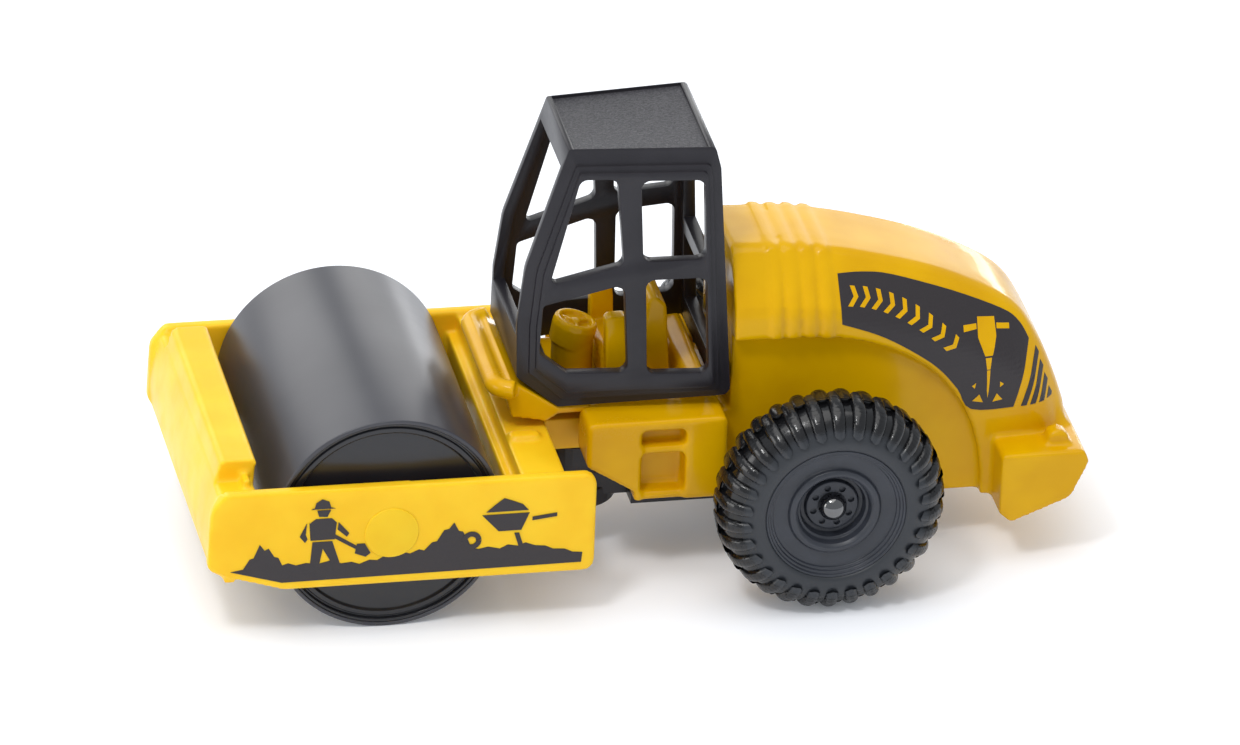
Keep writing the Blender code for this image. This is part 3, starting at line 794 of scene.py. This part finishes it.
# the head and hub profiles are (radius, height) before the head is tilted
consoleShape = {
    "x": -5.45, "radius": 2.1, "z": (18.6, 23.2), "headZ": 23.0, "tilt": 14, "spokes": 3, "spokeTurn": 0.5,
    "head": [(0, -1.2, 0), (0, 0.9, 0), (1.55, 0.9, 0.1), (1.7, 1.5, 0.12), (2.15, 1.5, 0.25),
             (2.3, 0.8, 0.2), (2.15, -1.2, 0)],
    "spoke": ((0, -0.2, 0.8), (1.7, 0.2, 1.25)), "hub": [(0, 0.8), (0, 1.35), (0.5, 1.35), (0.55, 0.8)],
    "voxel": 0.12, "passes": 2,
}


def makeNoseBar():
    deselectAll()
    bpy.ops.curve.primitive_bezier_curve_add()
    bar = bpy.context.object
    bar.data.splines.clear()
    route = roundedOutline(trayShape["bar"], 8)
    spline = bar.data.splines.new("POLY")
    spline.points.add(len(route) - 1)
    for point, (x, y) in zip(spline.points, route):
        point.co = (x * mm, y * mm, trayShape["barZ"] * mm, 1)
    bar.data.bevel_depth = trayShape["barRadius"] * mm
    bar.data.bevel_resolution = 6
    bar.data.use_fill_caps = True
    pick(bar)
    bpy.ops.object.convert(target="MESH")
    return editAll(bar, mergeDoubles, outwards)


def makeTray():
    wedgeHalf, shelfHalf = trayShape["wedgeHalf"], trayShape["shelfHalf"]
    pieces = [blockSolid("interiorTray", *trayShape["floor"]),
              blockSolid("sideFloor", *trayShape["sideFloor"]),
              outlineSolid("noseWedge", trayShape["wedge"], -wedgeHalf, wedgeHalf),
              outlineSolid("rearShelf", roundedOutline(trayShape["shelf"]), -shelfHalf, shelfHalf),
              makeNoseBar()]
    tray = softMould(joinAll(pieces), trayShape["voxel"], trayShape["passes"])
    finishPiece(tray, "body", "casting_paint", materials["casting"], "interior_tray")


def makeSeat():
    half = seatShape["backHalf"]
    pieces = [outlineSolid("driverSeat", roundedOutline(seatShape["back"]), -half, half)]
    arm = roundedOutline(seatShape["arm"])
    for sign in sides.values():
        pieces.append(outlineSolid("arm", arm, *sideSpan(sign, *seatShape["armY"])))
    seat = softMould(joinAll(pieces), seatShape["voxel"], seatShape["passes"])
    finishPiece(seat, "body", "casting_paint", materials["casting"], "seat")


def makeConsole():
    # the steering wheel is moulded in relief on the head
    pieces = [turnedSolid("consoleHead", roundedOutline(consoleShape["head"], 3), (0, 0, 0), 64, axis="Z")]
    for turn in range(consoleShape["spokes"]):
        spoke = blockSolid("spoke", *consoleShape["spoke"])
        spoke.rotation_euler.z = math.tau * turn / consoleShape["spokes"] + consoleShape["spokeTurn"]
        pieces.append(freeze(spoke))
    pieces.append(turnedSolid("wheelHub", consoleShape["hub"], (0, 0, 0), 32, axis="Z"))
    head = joinAll(pieces)
    head.rotation_euler.y = math.radians(consoleShape["tilt"])
    head.location = Vector((consoleShape["x"], 0, consoleShape["headZ"])) * mm
    freeze(head)
    low, high = consoleShape["z"]
    radius = consoleShape["radius"]
    post = turnedSolid("steeringConsole", [(0, low), (radius, low), (radius, high), (0, high)],
                       (consoleShape["x"], 0, 0), 64, axis="Z")
    console = softMould(joinAll([post, head]), consoleShape["voxel"], consoleShape["passes"])
    finishPiece(console, "body", "casting_paint", materials["casting"], "steering_console")


makeTray()
makeSeat()
makeConsole()
print("interior made")


# cab

cabShape = {
    "outline": [(-8.3, 18.6, 0.3), (-12.5, 21.9, 0.5), (-12.5, 27.6, 3), (-11.8, 33.8, 6), (-7.7, 46.6, 0.3),
                (6.9, 46.6, 0.6), (7.5, 44.3, 1.5), (9.0, 19.6, 0.9)],
    "band": [(-7.9, 19.6, 0.2), (-11.3, 22.5, 0.4), (-11.3, 27.6, 3), (-10.7, 33.6, 6), (-7.0, 44.9, 0.3),
             (6.4, 44.9, 0.5), (6.6, 43.6, 1), (7.8, 20.2, 0.8)],
    "inner": [(-7.5, 20.5, 0.2), (-10.7, 23.1, 0.4), (-10.7, 27.6, 3), (-10.1, 33.4, 6), (-6.7, 44.3, 0.3),
              (5.9, 44.3, 0.5), (6.1, 43.6, 1), (7.2, 20.8, 0.8)],
    "windows": [
        [(-6.6, 43.6, 0.9), (-2.9, 43.6, 0.9), (-2.1, 34.3, 0.9), (-9.5, 32.2, 0.5)],
        [(-0.6, 43.4, 0.9), (5.8, 43.4, 0.9), (6.1, 34.8, 0.9), (-0.2, 34.6, 0.9)],
        [(-10.1, 30.0, 0.5), (-2.0, 32.2, 0.9), (-1.5, 22.6, 0.9), (-7.6, 22.6, 0.8), (-10.4, 24.8, 0.8)],
        [(0.1, 32.6, 0.9), (6.2, 32.8, 0.9), (6.6, 22.4, 0.9), (0.4, 22.4, 0.9)]],
    "room": [(-8.0, 17.0), (-8.0, 20.1), (-11.3, 22.6), (-11.3, 27.6), (-10.6, 33.5), (-6.9, 45.3),
             (5.8, 45.3), (6.3, 44.2), (7.8, 17.0)],
    "windscreen": [(-14, 26.2), (-9.6, 26.2), (-9.0, 33.5), (-6.2, 44.4), (-14, 44.4)],
    "rearUpper": [(4, 43.2), (4, 31.5), (12, 31.5), (12, 43.2)],
    "rearLower": [(4, 29.8), (4, 22.0), (12, 22.0), (12, 29.8)],
    "dish": [(-7.2, 46.25), (-7.2, 47.6), (6.2, 47.6), (6.2, 46.25)],
    # how far each cut stays inside the side's outer face
    "insets": {"room": 1.2, "windscreen": 1.6, "rearUpper": 2.2, "rearLower": 2.2, "dish": 0.9},
    "ledge": 0.38, "edge": 0.09, "roofZ": (46.1, 46.32),
}


def cabWall(x, z):
    # half width of the cab, wider towards the rear and narrower towards the roof
    return 8.0 + 0.093 * (x + 12.5) - 0.0624 * (z - 18.6)


def leaningSolid(name, outline, inset):
    obj = outlineSolid(name, outline, -8, 8)
    for vertex in obj.data.vertices:
        half = cabWall(vertex.co.x / mm, vertex.co.z / mm) - inset
        vertex.co.y = math.copysign(half * mm, vertex.co.y)
    return obj


def makeCab():
    ledge = cabShape["ledge"]
    # three stacked outlines give each side its stepped border
    cab = leaningSolid("cabMoulding", roundedOutline(cabShape["outline"], 4), 2 * ledge)
    for key, inset in (("band", ledge), ("inner", 0)):
        layer = leaningSolid(key, roundedOutline(cabShape[key], 4), inset)
        modify(cab, "BOOLEAN", operation="UNION", solver="EXACT", object=layer)
        bpy.data.objects.remove(layer)
    cutAway(cab, *[leaningSolid(key, cabShape[key], inset) for key, inset in cabShape["insets"].items()])
    for corners in cabShape["windows"]:
        cutAway(cab, outlineSolid("window", roundedOutline(corners, 4), -14, 14))
    editAll(cab, mergeDoubles)
    crispMould(cab, cabShape["edge"])
    finishPiece(cab, "body", "cab_plastic", materials["cab"], "cab_frame")
    cab.data.materials.append(materials["roof"])
    low, high = cabShape["roofZ"]
    for face in cab.data.polygons:
        if face.normal.z > 0.95 and low < face.center.z / mm < high:
            face.material_index = 1


makeCab()
print("cab made")


# rear wheels

# profiles are (radius, Y) of the right wheel, with a rounding where there is a third number
tyreShape = {
    "carcass": [(7.1, 20.85), (7.35, 21.1), (8.0, 21.2), (8.8, 20.95), (9.7, 20.5), (10.5, 19.8),
                (10.95, 19.0), (11.15, 17.4), (10.95, 15.8), (10.4, 14.7), (9.4, 13.8), (8.2, 13.4)],
    "bead": (7.1, 13.3),
    "lugs": 30, "lugHalf": 0.66, "lugFlare": 0.1, "lugEdge": 0.07, "middle": 17.4,
    "lugOuter": [(8.85, 21.38), (9.7, 21.12), (10.5, 20.55), (11.15, 19.7), (11.5, 18.8), (11.63, 17.6)],
    "lugCrown": 17.05, "lugFoot": (8.85, 19.9), "lugInner": [(10.6, 17.05), (10.3, 19.0)],
}
rimShape = {
    "profile": [
        (7.15, 13.6, 0.1), (7.15, 21.0, 0.14), (6.9, 21.0, 0.12), (6.84, 20.72, 0.06), (6.62, 20.72, 0.12),
        (6.56, 20.42, 0.06), (6.34, 20.42, 0.12), (6.28, 20.15, 0.06), (6.0, 20.15, 0.2), (4.75, 19.95, 0.2),
        (4.6, 20.4, 0.2), (4.1, 20.55, 0.25), (3.75, 20.2, 0.15), (3.6, 19.5, 0.1), (3.35, 19.4, 0.1),
        (3.25, 18.5, 0.2), (2.75, 18.5, 0.1), (2.65, 19.0, 0.15), (1.4, 19.0, 0), (1.35, 15.2, 0.1),
        (5.6, 15.2, 0.2), (5.6, 13.6, 0.1)],
    "bolts": 8, "boltTurn": 0.35, "boltCircle": 1.98, "bolt": [(0, 18.7), (0.34, 18.7), (0.34, 20), (0, 20)],
}
domeShape = {"foot": [(0, 18.7), (1.5, 18.7), (1.5, 19.0)], "centre": 19.1, "radius": 1.46, "top": (0, 20.57)}


def roundLugEnd(lug):
    # the inner end on the sidewall becomes a half round
    pick(lug)
    for edge in lug.data.edges:
        ends = [lug.data.vertices[index].co / mm for index in edge.vertices]
        edge.select = max(end.z for end in ends) < 8.9 and abs(ends[0].y - ends[1].y) > 0.5
    bpy.ops.object.mode_set(mode="EDIT")
    bpy.ops.mesh.bevel(offset=tyreShape["lugHalf"] * 0.97 * mm, segments=4, affect="EDGES")
    bpy.ops.object.mode_set(mode="OBJECT")


def makeLug(shoulder):
    # a lug runs from the sidewall over the shoulder to the crown
    middle = (tyreLow.y + tyreHigh.y) / 2
    half = tyreShape["lugHalf"]
    outer = smoothLine([*tyreShape["lugOuter"], (wheelRadius, tyreShape["lugCrown"])], 2)
    section = [tyreShape["lugFoot"], *outer, *tyreShape["lugInner"]]
    outline = [(middle + shoulder * (along - tyreShape["middle"]), radius) for radius, along in section]
    lug = outlineSolid("lug", outline, -half, half, "X")
    for vertex in lug.data.vertices:  # a lug widens towards the crown
        vertex.co.x *= 1 + tyreShape["lugFlare"] * (vertex.co.z / mm - tyreShape["lugFoot"][0])
    roundLugEnd(lug)
    return modify(lug, "BEVEL", width=tyreShape["lugEdge"] * mm, segments=2, limit_method="ANGLE",
                  angle_limit=math.radians(50))


def makeTyre(name):
    carcass = [*smoothLine(tyreShape["carcass"], 3), tyreShape["bead"]]
    pieces = [turnedSolid(f"tyre{name.title()}", carcass, wheelCentre, 120)]
    for shoulder, start in ((1, 0), (-1, 0.5)):  # the inner row sits half a step on
        model = makeLug(shoulder)
        for index in range(tyreShape["lugs"]):
            lug = model.copy()
            lug.data = model.data.copy()
            bpy.context.scene.collection.objects.link(lug)
            lug.rotation_euler.y = math.tau * (index + start) / tyreShape["lugs"]
            lug.location = wheelCentre * mm
            pieces.append(freeze(lug))
        bpy.data.objects.remove(model)
    return smoothByAngle(joinAll(pieces), 25)


def makeRim(name):
    rim = turnedSolid(f"rim{name.title()}", roundedOutline(rimShape["profile"], 3), wheelCentre, 128)
    for index in range(rimShape["bolts"]):
        angle = math.tau * (index + rimShape["boltTurn"]) / rimShape["bolts"]
        spotX = wheelCentre.x + rimShape["boltCircle"] * math.cos(angle)
        spotZ = wheelCentre.z + rimShape["boltCircle"] * math.sin(angle)
        cutAway(rim, turnedSolid("bolt", rimShape["bolt"], (spotX, 0, spotZ), 20))
    editAll(rim, outwards)
    return smoothByAngle(rim, 30)


def makeDome(name):
    arc = arcPoints((0, domeShape["centre"]), domeShape["radius"], 0, 84, 12)
    profile = [*domeShape["foot"], *arc, domeShape["top"]]
    dome = turnedSolid(f"axleDome{name.title()}", profile, wheelCentre, 48)
    pick(dome)
    bpy.ops.object.shade_smooth()
    return dome


def makeWheel(name, side):
    tyre, rim, dome = makeTyre(name), makeRim(name), makeDome(name)
    if side < 0:
        for obj in (tyre, rim, dome):
            obj.scale.y = -1
            editAll(freeze(obj), outwards)
    finishPiece(tyre, "rear_wheels", "tyre_rubber", materials["tyre"], f"tyre_{name}")
    finishPiece(rim, "rear_wheels", "hub_plastic", materials["hub"], f"rim_{name}")
    finishPiece(dome, "rear_wheels", "hub_plastic", materials["dome"], f"axle_cap_{name}")


for sideName, sideSign in sides.items():
    makeWheel(sideName, sideSign)
print("rear wheels made")


# prints on the side plates and on the hood

# each shape is a drawn (X, Z) outline: a worker with a shovel, heaps of earth and a barrow
plateArt = {
    "ground": [
        (-43.2, 8.3), (-42.0, 8.5), (-41.0, 8.4), (-39.6, 8.8), (-38.6, 8.5), (-37.4, 8.9), (-36.6, 8.6),
        (-35.6, 8.8), (-34.4, 8.6), (-33.2, 8.9), (-32.0, 8.5), (-31.0, 8.6), (-30.2, 8.3), (-29.2, 8.7),
        (-28.4, 8.6), (-27.6, 9.1), (-26.8, 9.0), (-26.0, 9.4), (-25.1, 9.1), (-24.2, 9.5), (-23.2, 9.2),
        (-22.0, 9.4), (-20.8, 9.2), (-19.4, 9.5), (-18.2, 9.1), (-17.2, 9.3), (-16.0, 9.0), (-15.2, 9.4),
        (-14.2, 9.2), (-13.4, 9.5), (-12.4, 9.1), (-11.4, 9.0), (-10.6, 8.6), (-9.4, 8.5), (-8.6, 8.1),
        (-7.6, 8.0), (-7.7, 6.9), (-38.0, 6.75)],
    "moundFront": [(-42.0, 8.4), (-41.3, 9.6), (-40.9, 9.7), (-40.3, 11.2), (-39.8, 10.5), (-39.4, 10.7),
                   (-38.8, 9.7), (-38.4, 9.6), (-37.9, 8.5)],
    "moundRear": [(-23.8, 9.2), (-22.9, 10.2), (-22.4, 10.3), (-21.7, 11.5), (-21.2, 11.6), (-20.7, 12.3),
                  (-20.2, 11.3), (-19.8, 11.2), (-19.2, 10.1), (-18.9, 9.2)],
    "legs": [(-35.2, 8.6), (-35.0, 11.1), (-33.0, 11.1), (-32.2, 8.6), (-33.0, 8.6), (-33.95, 10.3),
             (-34.25, 8.6)],
    "coat": [(-35.2, 11.3), (-35.35, 13.2), (-34.7, 13.7), (-33.1, 13.7), (-32.6, 13.2), (-32.75, 11.3)],
    "farArm": [(-35.6, 13.3), (-36.3, 11.8), (-35.75, 11.1), (-35.5, 11.5), (-35.7, 12.0)],
    "nearArm": [(-32.4, 13.2), (-31.3, 11.9), (-31.55, 11.5), (-32.5, 12.4)],
    "handle": [(-32.95, 12.0), (-30.3, 10.25), (-30.5, 9.95), (-33.15, 11.65)],
    "shovel": [(-30.5, 10.6), (-29.7, 10.6), (-29.1, 9.5), (-29.6, 9.1), (-30.7, 9.55)],
    "face": [(-34.6, 14.65), (-34.4, 13.95), (-33.55, 13.9), (-33.2, 14.65)],
    "hat": [(-35.2, 14.8), (-34.85, 14.95), (-34.7, 15.5), (-34.1, 15.9), (-33.4, 15.6), (-33.2, 14.95),
            (-32.75, 14.8)],
    "barrowTray": [(-17.9, 12.9), (-16.2, 11.0), (-13.9, 11.0), (-13.1, 12.9)],
    "barrowLoad": [(-17.5, 13.2), (-16.6, 14.0), (-15.7, 14.7), (-14.7, 14.3), (-13.8, 13.9), (-13.2, 13.2)],
    "barrowArm": [(-12.8, 12.4), (-10.3, 12.7), (-10.3, 12.3), (-12.8, 12.0)],
    "barrowLeg": [(-14.6, 10.7), (-14.1, 10.7), (-13.6, 9.1), (-14.1, 9.1)],
}
barrowWheel = {"centre": (-18.9, 10.15), "outer": 1.0, "inner": 0.45}
inkShape = {"thickness": 0.05, "step": 0.003, "plateDepth": 0.12}
hoodArt = {
    "top": [(20.1, 31.0), (22.6, 30.9), (25.8, 30.3), (32.0, 28.1), (37.3, 25.6), (39.2, 24.0), (40.2, 22.2)],
    "bottom": [(38.3, 15.9), (33.9, 16.0), (32.4, 18.4), (30.2, 21.0), (27.2, 23.2), (24.0, 25.0),
               (20.3, 26.4)],
    "marks": 9, "chevron": [(-0.5, 0.9), (0.0, 0.9), (0.5, 0.0), (0.0, -0.9), (-0.5, -0.9), (0.0, 0.0)],
    "stripes": 4, "stripeWidth": 0.6, "tile": 0.5, "zone": ((19.6, 0, 15.4), (44, 0, 31.2)),
}


def chop(obj, step, low, high):
    # cuts a flat shape into small tiles, so that it can follow a curved side
    pick(obj)
    bpy.ops.object.mode_set(mode="EDIT")
    for axis, normal in ((0, (1, 0, 0)), (2, (0, 0, 1))):
        place = low[axis]
        while place < high[axis]:
            bpy.ops.mesh.select_all(action="SELECT")
            point = [0.0, 0.0, 0.0]
            point[axis] = place * mm
            bpy.ops.mesh.bisect(plane_co=point, plane_no=normal, use_fill=False)
            place += step
    bpy.ops.object.mode_set(mode="OBJECT")
    return obj


def printSheet(name, shapes, side, along):
    # every shape sits a hair higher than the last, because some of them overlap
    flats = [flatOutline(f"{name}{index}", shape, side * (along + inkShape["step"] * index))
             for index, shape in enumerate(shapes)]
    sheet = joinAll(flats)
    sheet.name = name
    return sheet


def thicken(sheet):
    editAll(sheet, outwards)
    modify(sheet, "SOLIDIFY", thickness=inkShape["thickness"] * mm, offset=0)
    return editAll(sheet, outwards)


def ringShape(centre, outer, inner, steps=20):
    # an open ring drawn as one outline with a hairline gap
    return [*arcPoints(centre, outer, 2, 358, steps), *arcPoints(centre, inner, 358, 2, steps)]


def makePlatePrints():
    wheel = ringShape(barrowWheel["centre"], barrowWheel["outer"], barrowWheel["inner"])
    shapes = [*plateArt.values(), wheel]
    for name, side in sides.items():
        sheet = printSheet(f"platePrint{name.title()}", shapes, side, frameHigh.y - inkShape["plateDepth"])
        finishPiece(thicken(sheet), "drum_frame", "frame_plastic", materials["ink"])


def hoodMarks():
    # a row of plain chevrons along the middle of the band
    marks = []
    for index in range(hoodArt["marks"]):
        part = index / (hoodArt["marks"] - 1)
        x = 21.6 + 10.2 * part
        z = 28.9 - 1.2 * part - 4.4 * part**2
        tilt = math.radians(-10 - 38 * part)
        along, up = math.cos(tilt), math.sin(tilt)
        marks.append([(x + a * along - b * up, z + a * up + b * along) for a, b in hoodArt["chevron"]])
    return marks


def toolMark():
    # a plain breaker: two grips, body, collar and pointed bit, with loose chips
    return [
        [(33.0, 24.9), (34.4, 24.85), (34.4, 24.35), (33.0, 24.3)],
        [(36.6, 24.5), (38.0, 24.2), (38.0, 23.7), (36.6, 24.0)],
        [(34.55, 25.4), (36.4, 25.1), (36.5, 23.4), (36.0, 21.7), (35.2, 21.7), (34.5, 23.6)],
        [(35.25, 21.5), (35.9, 21.5), (35.75, 20.3), (35.4, 20.3)],
        [(35.4, 20.2), (35.75, 20.2), (35.65, 18.0), (35.55, 17.2), (35.45, 18.0)],
        [(34.0, 16.9), (34.7, 17.6), (35.1, 16.7)],
        [(36.1, 16.7), (36.5, 17.6), (37.1, 16.9)],
        [(33.9, 18.6), (34.3, 18.9), (34.2, 18.3)],
        [(36.8, 18.9), (37.2, 18.6), (36.8, 18.3)],
    ]


def hoodStripes():
    # leaning stripes behind the band, each one shorter than the last
    stripes = []
    for index in range(hoodArt["stripes"]):
        low = 39.1 + 1.0 * index
        rise = 5.3 - 1.45 * index
        wide = low + hoodArt["stripeWidth"]
        stripes.append([(low, 15.9), (wide, 15.9), (wide + 0.36 * (rise - 0.7), 15.9 + rise - 0.7),
                        (low + 0.36 * rise, 15.9 + rise)])
    return stripes


def makeHoodPrints():
    band = [*smoothLine(hoodArt["top"], 4), *smoothLine(hoodArt["bottom"], 4)]
    layers = {"hoodBand": ([band, *hoodStripes()], 0.03, materials["ink"]),
              "hoodMarks": ([*hoodMarks(), *toolMark()], 0.07, materials["casting"])}
    for layer, (shapes, height, material) in layers.items():
        for name, side in sides.items():
            sheet = printSheet(f"{layer}{name.title()}", shapes, side, 14)
            chop(sheet, hoodArt["tile"], *hoodArt["zone"])
            modify(sheet, "SHRINKWRAP", target=casting, wrap_method="PROJECT", use_project_x=False,
                   use_project_y=True, use_project_z=False, use_negative_direction=True,
                   use_positive_direction=True, offset=height * mm)
            finishPiece(thicken(sheet), "body", "casting_paint", material)


makePlatePrints()
makeHoodPrints()
print("prints made")


# frame nodes that stay as they are get their finish

nodeFinishes = {"base_plate": "cab", "rivet_front": "steel", "rivet_rear": "steel", "pivot_pin": "steel",
                "pivot_washer": "steel", "drum_axle": "steel", "rear_axle": "steel"}
for node, key in nodeFinishes.items():
    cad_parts[node].data.materials.clear()
    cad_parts[node].data.materials.append(materials[key])
